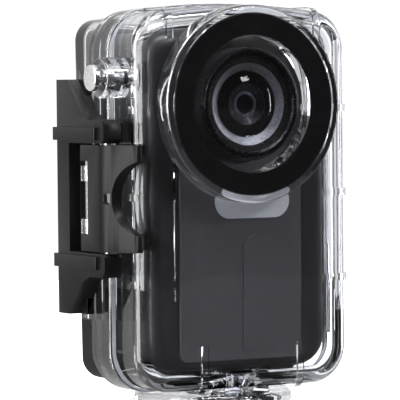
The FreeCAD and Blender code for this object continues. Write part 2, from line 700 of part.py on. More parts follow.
def plunger_spring():
    start = CAP_BACK + HUB_LONG
    length = BOSS_END + SPRING_HOLE_DEEP - BUTTON_TRAVEL - start - RUN
    radius = HUB_R - SPRING_WIRE
    pitch = (length - 2 * SPRING_WIRE) / SPRING_TURNS
    helix = Part.makeHelix(pitch, length - 2 * SPRING_WIRE, radius)
    corners = []
    for i in range(SPRING_SIDES + 1):
        turn = 2 * math.pi * i / SPRING_SIDES
        corners.append(V(radius + SPRING_WIRE * math.cos(turn), 0, SPRING_WIRE * math.sin(turn)))
    coil = Part.Wire(helix).makePipeShell([Part.makePolygon(corners)], True, True)
    coil.rotate(V(0, 0, 0), V(0, 1, 0), 90)
    coil.translate(V(start + SPRING_WIRE, BUTTON_Y, BUTTON_Z))
    return coil


# ---- latch ----
def lever_outline():
    """The lever seen from above: ears at the rod, a barrel at the link, a curved finger end."""
    tip = V(*LEVER_TIP, 0)
    ear_out = V(ROD_X - LUG_R, ROD_Y, 0)
    ear_in = V(ROD_X + LUG_R, ROD_Y, 0)
    ear_back = V(ROD_X, ROD_Y + LUG_R, 0)
    out_link = V(LINK_X - LINK_R, LINK_Y, 0)
    outer_bend = V(LINK_X - 0.75, LINK_Y - LINK_R - 0.55, 0)
    tip_out = tip + V(-LEVER_TIP_R, -0.05, 0)
    tip_end = tip + V(0.0, -LEVER_TIP_R, 0)
    tip_in = tip + V(LEVER_TIP_R, 0.1, 0)
    inner_bend = V(LINK_X + 1.35, LINK_Y - LINK_R - 0.6, 0)
    in_link = V(LINK_X + 1.45, LINK_Y - 0.4, 0)
    waist = V(ROD_X + 1.15, ROD_Y - LUG_R, 0)
    edges = [
        Part.Arc(ear_in, ear_back, ear_out),
        Part.LineSegment(ear_out, out_link),
        Part.Arc(out_link, V(LINK_X - 1.6, LINK_Y - 1.35, 0), outer_bend),
        Part.Arc(outer_bend, V(LINK_X + 0.45, LINK_Y - 4.9, 0), tip_out),
        Part.Arc(tip_out, tip_end, tip_in),
        Part.Arc(tip_in, V(LINK_X + 2.25, LINK_Y - 4.6, 0), inner_bend),
        Part.LineSegment(inner_bend, in_link),
        Part.LineSegment(in_link, waist),
        Part.LineSegment(waist, ear_in),
    ]
    return Part.Wire([edge.toShape() for edge in edges])


def latch_lever():
    face = Part.Face(lever_outline())
    body = face.extrude(V(0, 0, LATCH_Z[1] - LATCH_Z[0]))
    body.translate(V(0, 0, LATCH_Z[0]))
    middle = (LATCH_Z[0] + EAR_LONG, LATCH_Z[1] - EAR_LONG)
    room = box((ROD_X - 4, ROD_X + 4), (ROD_Y - LUG_R - 2 * MOVE_GAP, ROD_Y + 4), middle)
    finger = bar(FINGER_R, (ROD_X - 5, FINGER_Y, LATCH_MID), (ROD_X + 5, FINGER_Y, LATCH_MID))
    slot = box((-5, 5), (-LEVER_SLOT_WIDE / 2, LEVER_SLOT_WIDE / 2),
               (-LEVER_SLOT_TALL / 2, LEVER_SLOT_TALL / 2))
    slot.rotate(V(0, 0, 0), V(0, 0, 1), LEVER_SLOT_TURN)
    slot.translate(V(LINK_X - LEVER_SLOT_OUT, LINK_Y, LATCH_MID))
    cuts = [room, finger, slot,
            bar(ROD_R + RUN, (ROD_X, ROD_Y, LATCH_Z[0] - 1), (ROD_X, ROD_Y, LATCH_Z[1] + 1))]
    cuts += link_pin_solids()
    for z, sign in ((LATCH_Z[1], -1), (LATCH_Z[0], 1)):
        y = ROD_Y + LUG_R
        corner = prism_yz([(y + 0.5, z - 0.5 * sign), (y - 1.0, z - 0.5 * sign),
                           (y + 0.5, z + (LEVER_CHAMFER + 0.5) * sign)], ROD_X - 5, ROD_X + 5)
        cuts.append(corner)
    return cut_all(body, cuts)


def link_pin_solids():
    """Two short pins, each half in the lever and half in an arm of the hook."""
    half = LINK_PIN_LONG / 2
    return [bar(LINK_PIN_R, (LINK_X, LINK_Y, z - half), (LINK_X, LINK_Y, z + half)) for z in LATCH_Z]


def link_pins():
    return Part.makeCompound(link_pin_solids())


def latch_rod():
    return bar(ROD_R, (ROD_X, ROD_Y, LATCH_Z[0] + 0.4), (ROD_X, ROD_Y, LATCH_Z[1] - 0.4))


def catch_line(y):
    """Where the hook's tapered face is at y: parallel to the door flange's tapered edge."""
    slope = CATCH_DRAFT / FLANGE_DOOR_THICK
    return -FLANGE_HALF - CATCH_GAP + (y - SEAM_DOOR) * slope


def hook_half(sign):
    """Half of the hook frame, above or below the lever's middle."""
    def z(value):
        return LATCH_MID + sign * value

    arm_low = LEVER_HALF + MOVE_GAP
    arm_high = arm_low + ARM_TALL
    bar_end = (BAR_SPAN[1] - BAR_SPAN[0]) / 2
    front = LINK_Y - LINK_R - 0.35
    back = BAR_Y[1]
    side = [(back, z(0)), (back, z(bar_end)), (BAR_Y[0] + 0.4, z(bar_end)),
            (ROD_Y - 0.4, z(arm_high + 1.0)), (ROD_Y - 3.0, z(arm_high)), (front + 0.8, z(arm_high)),
            (front, z(arm_high - 1.2)), (front, z(arm_low + 0.6)), (front + 0.6, z(arm_low)),
            (BAR_Y[0], z(arm_low)), (BAR_Y[0], z(0))]
    frame = prism_yz(side, BAR_X, ARM_INNER_X)
    start = SEAM_DOOR + CATCH_START
    root = ARM_INNER_X - CATCH_DEEP
    reach = catch_line(BAR_Y[0])
    z0, z1 = sorted((z(0), z(bar_end)))
    nose = prism_xy([(root, start), (catch_line(start), start), (reach, BAR_Y[0]), (reach, back),
                     (root, back)], z0, z1)
    band_z = sorted((z(arm_low + 0.5), z(arm_low + 0.5 + BAND_TALL)))
    band = box((BAR_X - BAND_PROUD, ARM_INNER_X - 0.4), (ROD_Y - BAND_FORWARD, back + BAND_PROUD), band_z)
    band = band.makeFillet(0.5, [e for e in band.Edges if abs(e.BoundBox.ZLength - BAND_TALL) < 1e-3
                                 and e.BoundBox.XMax < BAR_X])
    return fuse(frame, nose, band)


def latch_hook():
    body = fuse(hook_half(1), hook_half(-1))
    half = LINK_PIN_LONG / 2 + 1
    cuts = [bar(LINK_PIN_R + RUN, (LINK_X, LINK_Y, z - half), (LINK_X, LINK_Y, z + half))
            for z in LATCH_Z]
    return cut_all(body, cuts)


# ---- camera housing ----
def screw_places():
    return [(side * SCREW_X, z) for side in (-1, 1) for z in SCREW_Z]


def camera_front_cover():
    block = camera_block(0, CAM_FRONT, CAM_SPLIT)
    block = block.makeFillet(CAM_FRONT_EDGE, edges_at_y(block, CAM_FRONT))
    inside = camera_block(CAM_WALL, CAM_FRONT + CAM_WALL, CAM_SPLIT + 1)
    inside = inside.makeFillet(CAM_FRONT_EDGE - CAM_WALL, edges_at_y(inside, CAM_FRONT + CAM_WALL))
    posts = [y_disc(SCREW_POST_R, x, z, CAM_FRONT + CAM_WALL, CAM_SPLIT) for x, z in screw_places()]
    body = fuse(block.cut(inside), *posts)
    cuts = [y_disc(SCREW_R, x, z, CAM_FRONT + CAM_WALL + 0.6, CAM_SPLIT + 1) for x, z in screw_places()]
    cuts.append(y_disc(BARREL_R + RUN, 0, PORT_Z, CAM_FRONT - 1, CAM_FRONT + CAM_WALL + 1))
    cuts.append(shutter_key_block(SLIP, -CAM_HALF - 1, -CAM_HALF + CAM_WALL + 0.2))
    cuts.append(shutter_pocket())
    return cut_all(body, cuts)


def camera_rear_cover():
    block = camera_block(0, CAM_SPLIT, CAM_BACK)
    block = block.makeFillet(CAM_BACK_EDGE, edges_at_y(block, CAM_BACK))
    inside = camera_block(CAM_WALL, CAM_SPLIT - 1, CAM_BACK - CAM_WALL)
    posts = [y_disc(SCREW_POST_R, x, z, CAM_SPLIT, CAM_BACK - CAM_WALL) for x, z in screw_places()]
    body = fuse(block.cut(inside), *posts)
    cuts = []
    for x, z in screw_places():
        cuts.append(y_disc(SCREW_R + RUN, x, z, CAM_SPLIT - 1, CAM_BACK + 1))
        cuts.append(y_disc(SCREW_HEAD_R + SLIP, x, z, CAM_BACK - 1.2, CAM_BACK + 1))
    for x, z in KEY_PLACES:
        cuts.append(y_disc(KEY_R + SLIP, x, z, CAM_BACK - CAM_WALL - 1, CAM_BACK + 1))
    cuts.append(box((-SCREEN_HALF, SCREEN_HALF), (CAM_BACK - 2, CAM_BACK + 1), SCREEN_Z))
    cuts.append(y_disc(LIGHT_R + RUN, LIGHT_X, KEY_PLACES[0][1], CAM_BACK - 2, CAM_BACK + 1))
    cuts.append(box((3.6, 12.4), (BOARD_BACK, BOARD_BACK + 3.2), (CAM_BOTTOM - 1.6, CAM_BOTTOM + 2.4)))
    cuts.append(battery_cover_block(SLIP, CAM_BOTTOM - 1, CAM_BOTTOM + CAM_WALL + 1))
    return cut_all(body, cuts)


def battery_cover_block(grow, z0, z1):
    return box((-12.4 - grow, 0.2 + grow), (BOARD_Y + 0.2 - grow, BOARD_Y + 4.6 + grow), (z0, z1))


def battery_cover():
    """Closed flap over the card slot and charging contacts, in the underside of the camera."""
    flap = battery_cover_block(0, CAM_BOTTOM, CAM_BOTTOM + CAM_WALL)
    grip = box((-8.1, -4.1), (BOARD_Y + 0.7, BOARD_Y + 1.3), (CAM_BOTTOM - 1, CAM_BOTTOM + 0.4))
    return flap.cut(grip)


def camera_front_panel():
    outline = box((-FACE_HALF, FACE_HALF), (FACE_FRONT, CAM_FRONT), (FACE_BOTTOM, PORT_Z))
    outline = outline.makeFillet(1.6, [e for e in outline.Edges if abs(e.BoundBox.YLength - FACE_THICK) < 1e-4
                                       and e.BoundBox.ZMax < FACE_BOTTOM + 0.1])
    outline = outline.makeFillet(0.2, edges_at_y(outline, FACE_FRONT))
    lens_room = y_disc(BARREL_R + 0.6, 0, PORT_Z, CAM_FRONT - 2, CAM_FRONT + 1)
    depth = (FACE_FRONT - TONGUE_PROUD, FACE_FRONT)
    tongue = fuse(box((TONGUE_X - TONGUE_HALF, TONGUE_X + TONGUE_HALF), depth,
                      (FACE_BOTTOM + 2, TONGUE_TOP - TONGUE_HALF)),
                  y_disc(TONGUE_HALF, TONGUE_X, TONGUE_TOP - TONGUE_HALF, *depth))
    return fuse(outline, tongue).cut(lens_room)


def badge_plate():
    """A blank plate with round ends."""
    depth = (FACE_FRONT - BADGE_THICK, FACE_FRONT)
    radius = (BADGE_Z[1] - BADGE_Z[0]) / 2
    middle = (BADGE_Z[0] + BADGE_Z[1]) / 2
    straight = BADGE_HALF - radius
    plate = box((BADGE_X - straight, BADGE_X + straight), depth, BADGE_Z)
    ends = [y_disc(radius, BADGE_X + side * straight, middle, *depth) for side in (-1, 1)]
    return fuse(plate, *ends)


# ---- lens ----
def lens_barrel():
    neck_start = CAM_FRONT + CAM_WALL - RUN
    shelf = MASK_FRONT + MASK_THICK
    profile = [(TRIM_R, LENS_FRONT + 0.3), (BARREL_R - 0.3, LENS_FRONT + 0.3), (BARREL_R, LENS_FRONT + 0.6),
               (BARREL_R, neck_start), (BARREL_NECK_R, neck_start), (BARREL_NECK_R, BARREL_BACK),
               (REAR_LENS_R, BARREL_BACK), (REAR_LENS_R, shelf),
               (DOME_R + 0.25, shelf), (RETAINER_R, LENS_FRONT + CONE_DEEP + RETAINER_DEEP),
               (RETAINER_R, LENS_FRONT + CONE_DEEP), (TRIM_R, LENS_FRONT + TRIM_TALL)]
    return turned(profile, 0, PORT_Z)


def lens_trim_ring():
    slope = (CONE_DEEP - TRIM_TALL) / (TRIM_R - RETAINER_R)
    seat = LENS_FRONT + TRIM_TALL + slope * (TRIM_R - TRIM_HOLE) - RUN
    profile = [(TRIM_HOLE + 0.35, LENS_FRONT), (TRIM_R - 0.15, LENS_FRONT), (TRIM_R, LENS_FRONT + 0.15),
               (TRIM_R, LENS_FRONT + TRIM_TALL), (TRIM_HOLE, seat), (TRIM_HOLE, LENS_FRONT + 0.35)]
    return turned(profile, 0, PORT_Z)


def lens_retaining_ring():
    y = LENS_FRONT + CONE_DEEP
    profile = [(RETAINER_R, y), (RETAINER_R, y + RETAINER_DEEP), (RETAINER_HOLE + 0.1, y + RETAINER_DEEP),
               (RETAINER_HOLE + 0.1, y + RETAINER_DEEP / 2)]
    return turned(profile, 0, PORT_Z)


def dome(radius, rise, y, thick):
    """A lens element: a bulging front on a flat back."""
    sphere_r = (radius ** 2 + rise ** 2) / (2 * rise)
    ball = Part.makeSphere(sphere_r, V(0, y - rise + sphere_r, PORT_Z))
    return ball.common(y_disc(radius, 0, PORT_Z, y - rise - 0.1, y + thick))


def lens_front_element():
    return dome(DOME_R, DOME_RISE, LENS_FRONT + CONE_DEEP + DOME_SEAT, DOME_THICK)


def lens_aperture_mask():
    """Black stepped mask behind the front element, with the ring that the eye reads as the iris."""
    y = MASK_FRONT
    profile = [(DOME_R - 0.3, y), (DOME_R - 0.3, y + MASK_THICK), (IRIS_R + IRIS_BAND, y + MASK_THICK),
               (IRIS_R + IRIS_BAND, y + MASK_THICK - IRIS_THICK), (INNER_LENS_R, y + 0.2),
               (INNER_LENS_R, y)]
    return turned(profile, 0, PORT_Z)


def lens_rear_group():
    first = MASK_FRONT + MASK_THICK + 0.7
    elements = []
    for i in range(3):
        elements.append(dome(REAR_LENS_R - RUN, 0.5, first + 1.7 * i, 0.7))
    return Part.makeCompound(elements)


def iris_ring():
    back = MASK_FRONT + MASK_THICK
    return y_ring(IRIS_R + IRIS_BAND, IRIS_R, 0, PORT_Z, back - IRIS_THICK, back)


# ---- camera inside ----
def image_sensor():
    return box((-4.2, 4.2), (CAM_SPLIT - 1.4, CAM_SPLIT - 0.9), (PORT_Z - 3.4, PORT_Z + 3.4))


def sensor_board():
    return box((-8.5, 8.5), (CAM_SPLIT - 0.9, CAM_SPLIT - 0.1), (PORT_Z - 8.0, PORT_Z + 8.0))


def main_board():
    half = CAM_HALF - BOARD_INSET[0]
    board_z = (CAM_BOTTOM + BOARD_INSET[1], CAM_TOP - BOARD_INSET[2])
    board = box((-half, half), (BOARD_Y, BOARD_BACK), board_z)
    reach = SCREW_POST_R + 0.3
    for x, z in screw_places():
        corner_x = sorted((x - math.copysign(reach, x), x + math.copysign(6, x)))
        corner_z = (z - reach, z + 6) if z > PORT_Z else (z - 6, z + reach)
        board = board.cut(box(corner_x, (BOARD_Y - 1, BOARD_Y + 2), corner_z))
    return board


def battery():
    half = CAM_HALF - BATTERY_INSET
    cell = box((-half, half), (CAM_FRONT + CAM_WALL + 0.3, CAM_SPLIT - 1.1),
               (CAM_BOTTOM + BATTERY_UP, BATTERY_TOP))
    return cell.makeFillet(1.2, [e for e in cell.Edges if e.BoundBox.ZLength > 1 and e.BoundBox.XLength < 1
                                 and e.BoundBox.YLength < 1])


def battery_contacts():
    height = (BATTERY_TOP - 7.0, BATTERY_TOP - 4.5)
    strips = [box((x - 0.8, x + 0.8), (CAM_SPLIT - 1.1, BOARD_Y), height) for x in (-12.0, -9.0, -6.0)]
    return Part.makeCompound(strips)


def speaker():
    return y_disc(4.6, TONGUE_X, CAM_BOTTOM + 7.2, CAM_FRONT + CAM_WALL, CAM_FRONT + CAM_WALL + 3.0)


def microphone():
    return y_disc(2.0, -10.5, CAM_BOTTOM + 7.2, CAM_FRONT + CAM_WALL, CAM_FRONT + CAM_WALL + 1.4)


def screen_panel():
    return box((-SCREEN_HALF + 0.4, SCREEN_HALF - 0.4), (BOARD_BACK + 1.6, CAM_BACK - SCREEN_THICK),
               (SCREEN_Z[0] + 0.4, SCREEN_Z[1] - 0.4))


def screen_window():
    pane = box((-SCREEN_HALF + RUN, SCREEN_HALF - RUN), (CAM_BACK - SCREEN_THICK, CAM_BACK),
               (SCREEN_Z[0] + RUN, SCREEN_Z[1] - RUN))
    return pane


def rear_key(x, z):
    cap = y_disc(KEY_R, x, z, CAM_BACK - KEY_LONG, CAM_BACK + KEY_PROUD)
    cap = cap.makeFillet(0.15, edges_at_y(cap, CAM_BACK + KEY_PROUD))
    foot = y_disc(KEY_R + 0.6, x, z, CAM_BACK - CAM_WALL - 0.5, CAM_BACK - CAM_WALL - SLIP)
    return fuse(cap, foot)


def key_switches():
    top = CAM_BACK - KEY_LONG - KEY_TRAVEL - RUN
    blocks = [box((x - 1.6, x + 1.6), (BOARD_BACK, top), (z - 1.6, z + 1.6))
              for x, z in KEY_PLACES]
    return Part.makeCompound(blocks)


def shutter_key_block(grow, x0, x1):
    return box((x0, x1), (BUTTON_Y - 1.1 - grow, BUTTON_Y + 1.1 + grow),
               (BUTTON_Z - 2.6 - grow, BUTTON_Z + 2.6 + grow))


def shutter_pocket():
    """Room inside the front cover's rounded corner for the key's foot, its travel and the switch."""
    wall = -CAM_HALF + CAM_WALL
    deep = SWITCH_START + SWITCH_DEEP + SLIP
    return box((wall, wall + deep),
               (BUTTON_Y - SWITCH_HALF - SLIP, BUTTON_Y + KEY_FOOT_REACH + SLIP),
               (BUTTON_Z - KEY_FOOT_HALF - SLIP, BUTTON_Z + KEY_FOOT_HALF + SLIP))


def shutter_key():
    back = -CAM_HALF + CAM_WALL
    cap = shutter_key_block(0, -CAM_HALF - BUTTON_TRAVEL, back + 0.5)
    foot = box((back + 0.5, back + KEY_FOOT_END), (BUTTON_Y - 1.1, BUTTON_Y + KEY_FOOT_REACH),
               (BUTTON_Z - KEY_FOOT_HALF, BUTTON_Z + KEY_FOOT_HALF))
    return fuse(cap, foot)


def shutter_switch():
    start = -CAM_HALF + CAM_WALL + SWITCH_START
    return box((start, start + SWITCH_DEEP), (BUTTON_Y - SWITCH_HALF, BUTTON_Y + SWITCH_HALF),
               (BUTTON_Z - 1.6, BUTTON_Z + 1.6))


def card_socket():
    low = CAM_BOTTOM + 2.0
    shell = box((-12.3, -0.3), (BOARD_BACK, BOARD_BACK + 1.6), (low, low + 8.4))
    slot = box((-11.9, -0.7), (BOARD_BACK + 0.35, BOARD_BACK + 1.25), (low - 0.6, low + 8.0))
    return shell.cut(slot)


def memory_card():
    low = CAM_BOTTOM + 1.8
    return box((-11.8, -0.8), (BOARD_BACK + 0.4, BOARD_BACK + 1.1), (low, low + 8.0))


def usb_port():
    y = BOARD_BACK
    top = CAM_BOTTOM + 5.4
    shell = box((4.1, 11.9), (y, y + 2.8), (CAM_BOTTOM + 0.2, top))
    hole = box((4.5, 11.5), (y + 0.35, y + 2.45), (CAM_BOTTOM - 1, top - 0.6))
    tongue = box((5.4, 10.6), (y + 1.1, y + 1.7), (CAM_BOTTOM + 0.9, top - 0.6))
    return fuse(shell.cut(hole), tongue)


def status_light():
    return y_disc(LIGHT_R, LIGHT_X, KEY_PLACES[0][1], BOARD_BACK, CAM_BACK)


def camera_screws():
    screws = []
    for x, z in screw_places():
        head = y_disc(SCREW_HEAD_R, x, z, CAM_BACK - 1.2, CAM_BACK - 0.2)
        head = head.cut(box((x - 0.9, x + 0.9), (CAM_BACK - 0.6, CAM_BACK), (z - 0.18, z + 0.18)))
        head = head.cut(box((x - 0.18, x + 0.18), (CAM_BACK - 0.6, CAM_BACK), (z - 0.9, z + 0.9)))
        shank = y_disc(SCREW_R, x, z, CAM_SPLIT - 5.5, CAM_BACK - 1.2)
        screws.append(fuse(head, shank))
    return Part.makeCompound(screws)


def write_all():
    pieces = {
        "front_shell": front_shell,
        "rear_door": rear_door,
        "door_seal": door_seal,
        "door_liner": door_liner,
        "door_boot": door_boot,
        "door_hinge_pin": door_hinge_pin,
        "port_bezel": port_bezel,
        "port_window": port_window,
        "port_seal": port_seal,
        "cradle_pads": cradle_pads,
        "mount_foot": mount_foot,
        "tripod_insert": tripod_insert,
        "plunger_cap": plunger_cap,
        "plunger_stem": plunger_stem,
        "plunger_ring": plunger_ring,
        "plunger_clip": plunger_clip,
        "plunger_spring": plunger_spring,
        "latch_lever": latch_lever,
        "latch_hook": latch_hook,
        "latch_rod": latch_rod,
        "link_pins": link_pins,
        "camera_front_cover": camera_front_cover,
        "camera_rear_cover": camera_rear_cover,
        "camera_front_panel": camera_front_panel,
        "badge_plate": badge_plate,
        "battery_cover": battery_cover,
        "lens_barrel": lens_barrel,
        "lens_trim_ring": lens_trim_ring,
        "lens_retaining_ring": lens_retaining_ring,
        "lens_front_element": lens_front_element,
        "lens_aperture_mask": lens_aperture_mask,
        "lens_rear_group": lens_rear_group,
        "iris_ring": iris_ring,
        "image_sensor": image_sensor,
        "sensor_board": sensor_board,
        "main_board": main_board,
        "battery": battery,
        "battery_contacts": battery_contacts,
        "speaker": speaker,
        "microphone": microphone,
        "screen_panel": screen_panel,
        "screen_window": screen_window,
        "key_switches": key_switches,
        "shutter_key": shutter_key,
        "shutter_switch": shutter_switch,
        "card_socket": card_socket,
        "memory_card": memory_card,
        "usb_port": usb_port,
        "status_light": status_light,
        "camera_screws": camera_screws,
    }
    os.makedirs("parts", exist_ok=True)
    for name, make in pieces.items():
        save(name, make())
    for number, (x, z) in enumerate(KEY_PLACES, 1):
        save("rear_key_%d" % number, rear_key(x, z))


def save(name, shape):
    shape.exportStep("parts/%s.step" % name)
    print("%-22s solids %d  valid %s  volume %.2f" % (name, len(shape.Solids), shape.isValid(), shape.Volume))


write_all()
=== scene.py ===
import bmesh
import bpy
import json
import math
import numpy as np
from mathutils import Matrix, Vector


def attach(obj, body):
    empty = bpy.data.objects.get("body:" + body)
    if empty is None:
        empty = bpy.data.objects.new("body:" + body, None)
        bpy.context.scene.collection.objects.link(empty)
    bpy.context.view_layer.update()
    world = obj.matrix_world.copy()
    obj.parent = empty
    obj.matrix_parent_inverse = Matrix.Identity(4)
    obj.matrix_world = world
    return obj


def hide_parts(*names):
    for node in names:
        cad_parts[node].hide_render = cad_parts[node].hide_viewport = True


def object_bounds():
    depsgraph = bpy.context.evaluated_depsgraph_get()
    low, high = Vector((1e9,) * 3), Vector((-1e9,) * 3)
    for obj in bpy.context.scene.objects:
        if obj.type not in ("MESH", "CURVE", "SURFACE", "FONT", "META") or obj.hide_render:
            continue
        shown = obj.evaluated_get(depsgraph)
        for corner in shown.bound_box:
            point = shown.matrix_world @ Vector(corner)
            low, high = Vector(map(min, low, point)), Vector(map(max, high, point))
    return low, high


# A pocket action camera shut in its clear waterproof case: black latch on the left,
# shutter plunger above it, round lens port in front and a clear mounting foot below.

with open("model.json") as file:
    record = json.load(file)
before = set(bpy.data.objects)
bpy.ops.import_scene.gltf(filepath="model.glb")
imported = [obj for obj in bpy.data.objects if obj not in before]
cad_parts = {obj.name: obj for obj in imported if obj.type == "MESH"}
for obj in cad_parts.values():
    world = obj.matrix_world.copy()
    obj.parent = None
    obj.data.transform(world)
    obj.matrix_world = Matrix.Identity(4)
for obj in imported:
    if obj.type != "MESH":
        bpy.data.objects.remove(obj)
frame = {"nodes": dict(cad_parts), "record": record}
cad_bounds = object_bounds()
nodes = frame["nodes"]
MM = 0.001

# ---- camera and studio ----
VIEW_AZIMUTH = -29.122
VIEW_ELEVATION = 2.237
VIEW_ROLL = -0.545
VIEW_DISTANCE = 527.27 * MM
VIEW_TARGET = Vector((-9.283, -6.8, 37.936)) * MM
LENS_LENGTH = 262.3             # millimetres on a 36 mm sensor
FLOOR_RADIUS = 0.35
FLOOR_GLOW = 0.45               # how far the floor is lit from within beside the case, and 1 far away
BACKDROP_DIM = 0.3              # how bright the surroundings are overhead, where the backdrop is 1
LIGHT_BOUNCES = 32              # light is led along inside the clear walls by many mirror bounces
ROOM_LEVEL = 0.8                # brightness of the room's white walls in mirror images and on matt surfaces
FLAG_LEVEL = 0.02               # brightness of the black flag that keeps the front faces dark
FLAG_AZIMUTH = 30.0             # where the flag hangs: what the front faces mirror to the camera
# each softbox: azimuth and elevation in degrees, distance and size in metres, power in watts
SOFTBOXES = {
    "overhead": (-20, 72, 0.7, (0.5, 0.4), 6),
    "left_wall": (-78, 8, 0.7, (0.45, 0.8), 9),
    "right_strip": (75, 12, 0.8, (0.1, 0.7), 2),
    "dome_light": (30, 38, 0.7, (0.15, 0.08), 1.5),
}

# ---- pieces made anew ----
EDGE_ROUND = 0.22 * MM          # mould radius on the latch's corners
EDGE_ANGLE = 38.0               # corners flatter than this many degrees stay as they are
SAME_POINT = 0.002 * MM         # corners of the loose triangles closer than this are one point
SAME_PLANE = 0.5                # degrees between triangles that are one flat face
SPRING_TURNS = 4
SPRING_WIRE = 0.2 * MM
COIL_SIDES = 20                 # points round the wire
COIL_STEPS = 64                 # points along each turn


def linear(hex_colour):
    """An sRGB hex colour as linear red, green, blue, with full alpha."""
    values = np.array([int(hex_colour[i:i + 2], 16) for i in (1, 3, 5)]) / 255
    straight = np.where(values <= 0.04045, values / 12.92, ((values + 0.055) / 1.055) ** 2.4)
    return (*straight.tolist(), 1.0)


def add(tree, kind, settings=(), values=(), links=()):
    """Adds a node with its settings, its sockets' own values, and links into its sockets."""
    node = tree.nodes.new(kind)
    for name, value in dict(settings).items():
        setattr(node, name, value)
    for socket, value in dict(values).items():
        node.inputs[socket].default_value = value
    wire(tree, node, dict(links))
    return node


def wire(tree, node, links):
    """Links sources, or the first outputs of nodes, into a node's sockets."""
    for socket, source in links.items():
        tree.links.new(getattr(source, "outputs", [source])[0], node.inputs[socket])


# ---- materials ----
def surface(name, colour, **values):
    """Starts a material: a Principled shader with the given colour and socket values."""
    material = bpy.data.materials.new(name)
    material.use_nodes = True
    tree = material.node_tree
    tree.nodes.clear()
    sockets = {"Base Color": linear(colour)}
    sockets.update({key.replace("_", " "): value for key, value in values.items()})
    shader = add(tree, "ShaderNodeBsdfPrincipled", values=sockets)
    add(tree, "ShaderNodeOutputMaterial", links={"Surface": shader.outputs[0]})
    place = add(tree, "ShaderNodeTexCoord").outputs["Object"]
    return material, tree, shader, place


def let_light_in(tree, shader, share):
    """Lets a share of the lamps' light pass straight through a clear material, to light what is inside."""
    shadow = add(tree, "ShaderNodeLightPath").outputs["Is Shadow Ray"]
    pass_on = add(tree, "ShaderNodeBsdfTransparent", values={"Color": (share, share, share, 1.0)})
    both = add(tree, "ShaderNodeMixShader", links={0: shadow, 1: shader, 2: pass_on})
    wire(tree, tree.nodes["Material Output"], {"Surface": both})


def clear_polycarbonate(name, tint, ripple):
    """Injection-moulded clear polycarbonate: water clear and glossy; slow ripples bend its highlights."""
    material, tree, shader, place = surface(name, tint, Roughness=0.0, IOR=1.585)
    shader.inputs["Transmission Weight"].default_value = 1.0
    flow = add(tree, "ShaderNodeTexNoise", links={"Vector": place},
               values={"Scale": 1 / (14 * MM), "Detail": 1.0})
    bump = add(tree, "ShaderNodeBump", values={"Distance": ripple}, links={"Height": flow})
    handling = add(tree, "ShaderNodeTexNoise", links={"Vector": place},
                   values={"Scale": 1 / (5 * MM), "Detail": 4.0})
    haze = add(tree, "ShaderNodeMapRange", links={"Value": handling},
               values={"From Min": 0.45, "From Max": 0.8, "To Min": 0.0, "To Max": 0.03})
    wire(tree, shader, {"Normal": bump, "Roughness": haze})
    let_light_in(tree, shader, 0.9)
    return material


def optical_glass(name, tint, coat):
    """Polished glass with a thin coating: no texture of its own, a faint wipe haze in its gloss."""
    material, tree, shader, place = surface(name, tint, IOR=1.5)
    shader.inputs["Transmission Weight"].default_value = 1.0
    shader.inputs["Coat Weight"].default_value = coat
    wipe = add(tree, "ShaderNodeTexNoise", links={"Vector": place},
               values={"Scale": 1 / (6 * MM), "Detail": 3.0})
    haze = add(tree, "ShaderNodeMapRange", links={"Value": wipe},
               values={"From Min": 0.5, "From Max": 0.8, "To Min": 0.0, "To Max": 0.02})
    wire(tree, shader, {"Roughness": haze})
    let_light_in(tree, shader, 0.92)
    return material


def moulded(name, dark, light, gloss, grain, depth, sheen=0.0, glint=0.5):
    """Moulded plastic or rubber: an even colour with faint mottling, a fine tool texture and a steady gloss.

    Satin ABS, spark-eroded nylon and rubber differ in colour, in gloss and in the texture's width and depth.
    """
    material, tree, shader, place = surface(name, dark)
    shader.inputs["Sheen Weight"].default_value = sheen
    shader.inputs["Specular IOR Level"].default_value = glint
    mottle = add(tree, "ShaderNodeTexNoise", links={"Vector": place},
                 values={"Scale": 1 / (2.5 * MM), "Detail": 3.0})
    texture = add(tree, "ShaderNodeTexNoise", values={"Scale": 1 / grain, "Detail": 2.0, "Roughness": 0.6},
                  links={"Vector": place})
    both = add(tree, "ShaderNodeMath", settings={"operation": "MULTIPLY"}, links={0: mottle, 1: texture})
    tone = add(tree, "ShaderNodeMapRange", values={"From Min": 0.1, "From Max": 0.4}, links={"Value": both})
    colour = add(tree, "ShaderNodeMix", settings={"data_type": "RGBA"}, links={0: tone},
                 values={6: linear(dark), 7: linear(light)})
    rough = add(tree, "ShaderNodeMapRange", links={"Value": texture},
                values={"From Min": 0.3, "From Max": 0.7, "To Min": gloss - 0.05, "To Max": gloss + 0.05})
    bump = add(tree, "ShaderNodeBump", links={"Height": texture},
               values={"Strength": 0.7, "Distance": depth})
    wire(tree, shader, {"Base Color": colour.outputs[2], "Roughness": rough, "Normal": bump})
    return material


def metal(name, dark, light, gloss, scratch, stretch=(1, 1, 1)):
    """Worked metal: colour and gloss broken up by fine tool marks, drawn out along one direction."""
    material, tree, shader, place = surface(name, light, Metallic=1.0)
    along = add(tree, "ShaderNodeMapping", values={"Scale": stretch}, links={"Vector": place})
    marks = add(tree, "ShaderNodeTexNoise", links={"Vector": along},
                values={"Scale": 1 / scratch, "Detail": 3.0})
    tone = add(tree, "ShaderNodeMapRange", links={"Value": marks},
               values={"From Min": 0.3, "From Max": 0.7})
    colour = add(tree, "ShaderNodeMix", settings={"data_type": "RGBA"}, links={0: tone},
                 values={6: linear(dark), 7: linear(light)})
    rough = add(tree, "ShaderNodeMapRange", links={"Value": tone},
                values={"To Min": gloss, "To Max": gloss + 0.14})
    bump = add(tree, "ShaderNodeBump", links={"Height": marks},
               values={"Strength": 0.5, "Distance": 0.004 * MM})
    wire(tree, shader, {"Base Color": colour.outputs[2], "Roughness": rough, "Normal": bump})
    return material


